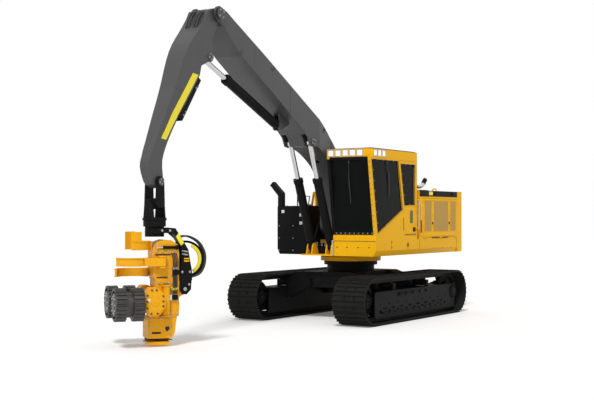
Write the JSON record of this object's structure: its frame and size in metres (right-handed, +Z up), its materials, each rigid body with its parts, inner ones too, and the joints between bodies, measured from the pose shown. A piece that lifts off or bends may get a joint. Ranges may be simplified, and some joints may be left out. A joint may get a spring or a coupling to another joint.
{
  "type": "tracked forestry harvester",
  "caption": "Tracked forestry harvester with a slewing cab and engine deck, a long bent boom and stick, and a felling and delimbing head hung from a rotator.",
  "frame": {"origin": "on the ground under the middle of the parked machine's bounding box", "axes": "+X forward along the boom, +Y to the machine's left, where the cab is, +Z up"},
  "size_m": [11.1522, 3.445, 6.225],
  "materials": {
    "yellow_paint": "semi-gloss enamel",
    "black_paint": "satin enamel",
    "head_paint": "semi-gloss enamel, worn",
    "track_steel": "worn",
    "bare_steel": "machined",
    "rod_chrome": "polished",
    "window_glass": "tinted",
    "seat_cover": "woven",
    "cab_plastic": "textured",
    "lamp_lens": "clear"
  },
  "bodies": {
    "undercarriage": {"carbody": "black_paint", "slew_base": "black_paint", "track_left": "track_steel", "track_right": "track_steel", "track_frame_left": "black_paint", "track_frame_right": "black_paint", "track_idlers": "track_steel", "track_sprockets": "track_steel", "track_rollers": "track_steel"},
    "upper": {"slew_flange": "yellow_paint", "upper_frame": "yellow_paint", "boom_tower": "black_paint", "counterweight": "yellow_paint", "engine_house": "yellow_paint", "engine_block": "bare_steel", "exhaust": "bare_steel", "front_tank": "black_paint", "camera_stalk": "black_paint", "step_rail": "yellow_paint", "pump_house": "yellow_paint", "cab_shell": "yellow_paint", "cab_roof": "yellow_paint", "work_lamps": "lamp_lens", "side_glass": "window_glass", "front_glass": "window_glass", "rear_glass": "window_glass", "seat": "seat_cover", "seat_base": "cab_plastic", "arm_pods": "cab_plastic"},
    "side_door": {"engine_door": "yellow_paint"},
    "hood": {"engine_hood": "black_paint"},
    "operator_door": {"cab_door": "yellow_paint", "door_glass": "window_glass"},
    "main_boom": {"boom": "black_paint"},
    "dipper": {"stick": "black_paint", "stick_guard": "black_paint"},
    "boom_barrels": {"boom_cylinder_barrels": "black_paint"},
    "boom_rods": {"boom_cylinder_rods": "rod_chrome"},
    "stick_barrel": {"stick_cylinder_barrel": "black_paint"},
    "stick_rod": {"stick_cylinder_rod": "rod_chrome"},
    "end_link": {"hanging_link": "black_paint"},
    "rotator": {"rotator_housing": "black_paint"},
    "bracket": {"tilt_bracket": "black_paint"},
    "head": {"head_frame": "head_paint", "top_knife": "head_paint", "saw_box": "head_paint"},
    "left_knife": {"knife_left": "head_paint"},
    "right_knife": {"knife_right": "head_paint"},
    "left_feed_arm": {"feed_arm_left": "head_paint"},
    "right_feed_arm": {"feed_arm_right": "head_paint"},
    "left_feed_roller": {"feed_roller_left": "bare_steel"},
    "right_feed_roller": {"feed_roller_right": "bare_steel"},
    "saw": {"saw_bar": "bare_steel"}
  },
  "joints": [
    {"name": "slew", "type": "hinge", "parent": "undercarriage", "child": "upper", "pos_m": [-2.39614, 0, 1.2753], "axis": [0, 0, 1], "continuous": true},
    {"name": "cab_door_hinge", "type": "hinge", "parent": "upper", "child": "operator_door", "pos_m": [-2.88914, 1.433, 1.88], "axis": [0, 0, 1], "range_deg": [0, 100]},
    {"name": "engine_door_hinge", "type": "hinge", "parent": "upper", "child": "side_door", "pos_m": [-4.18614, 1.427, 1.786], "axis": [-1, 0, 0], "range_deg": [0, 90]},
    {"name": "hood_hinge", "type": "hinge", "parent": "upper", "child": "hood", "pos_m": [-4.35614, -1.427, 2.7263], "axis": [1, 0, 0], "range_deg": [0, 60]},
    {"name": "boom_lift", "type": "hinge", "parent": "upper", "child": "main_boom", "pos_m": [-1.61614, 0, 2.05], "axis": [0, -1, 0], "range_deg": [-50, 20]},
    {"name": "stick_swing", "type": "hinge", "parent": "main_boom", "child": "dipper", "pos_m": [3.02386, 0, 6.08], "axis": [0, 1, 0], "range_deg": [-70, 25]},
    {"name": "boom_barrel_pivot", "type": "hinge", "parent": "upper", "child": "boom_barrels", "pos_m": [-1.10614, 0, 1.62], "axis": [0, -1, 0], "range_deg": [-51, 21]},
    {"name": "boom_rod_slide", "type": "slide", "parent": "boom_barrels", "child": "boom_rods", "axis": [0.3657, 0, 0.9308], "range_m": [-0.56, 0.23]},
    {"name": "stick_barrel_pivot", "type": "hinge", "parent": "main_boom", "child": "stick_barrel", "pos_m": [0.62387, 0, 4.14], "axis": [0, -1, 0], "range_deg": [-3, 6]},
    {"name": "stick_rod_slide", "type": "slide", "parent": "stick_barrel", "child": "stick_rod", "axis": [0.9173, 0, 0.3982], "range_m": [-0.331, 0.908]},
    {"name": "link_swing", "type": "hinge", "parent": "dipper", "child": "end_link", "pos_m": [4.55387, 0, 2.89], "axis": [0, -1, 0], "range_deg": [-60, 60]},
    {"name": "cross_swing", "type": "hinge", "parent": "end_link", "child": "rotator", "pos_m": [4.55387, 0, 2.49], "axis": [1, 0, 0], "range_deg": [-30, 30]},
    {"name": "head_rotator", "type": "hinge", "parent": "rotator", "child": "bracket", "pos_m": [4.55387, 0, 2.1], "axis": [0, 0, 1], "continuous": true},
    {"name": "head_tilt", "type": "hinge", "parent": "bracket", "child": "head", "pos_m": [4.16144, 0.3066, 1], "axis": [0.6157, 0.788, 0], "range_deg": [0, 100]},
    {"name": "left_knife_hinge", "type": "hinge", "parent": "head", "child": "left_knife", "pos_m": [4.68325, 0.2923, 1.4], "axis": [0, 0, 1], "range_deg": [0, 50]},
    {"name": "right_knife_hinge", "type": "hinge", "parent": "head", "child": "right_knife", "pos_m": [4.30154, -0.19626, 1.4], "axis": [0, 0, -1], "range_deg": [0, 50]},
    {"name": "left_feed_arm_hinge", "type": "hinge", "parent": "head", "child": "left_feed_arm", "pos_m": [4.6281, 0.3354, 0.8], "axis": [0, 0, 1], "range_deg": [0, 35]},
    {"name": "right_feed_arm_hinge", "type": "hinge", "parent": "head", "child": "right_feed_arm", "pos_m": [4.24638, -0.15316, 0.8], "axis": [0, 0, -1], "range_deg": [0, 35]},
    {"name": "left_feed_spin", "type": "hinge", "parent": "left_feed_arm", "child": "left_feed_roller", "pos_m": [5.00388, 0.11795, 0.76], "axis": [0.788, -0.6157, 0], "continuous": true},
    {"name": "right_feed_spin", "type": "hinge", "parent": "right_feed_arm", "child": "right_feed_roller", "pos_m": [4.54829, -0.46518, 0.76], "axis": [0.788, -0.6157, 0], "continuous": true},
    {"name": "saw_swing", "type": "hinge", "parent": "head", "child": "saw", "pos_m": [4.51998, -0.17657, 0.115], "axis": [0, 0, -1], "range_deg": [0, 130]}
  ],
  "couplings": [
    {"joint": "boom_barrel_pivot", "follows": "boom_lift", "ratio": 1},
    {"joint": "boom_rod_slide", "follows": "boom_lift", "m_per_rad": 0.63},
    {"joint": "stick_barrel_pivot", "follows": "stick_swing", "ratio": -0.06},
    {"joint": "stick_rod_slide", "follows": "stick_swing", "m_per_rad": -0.735}
  ]
}
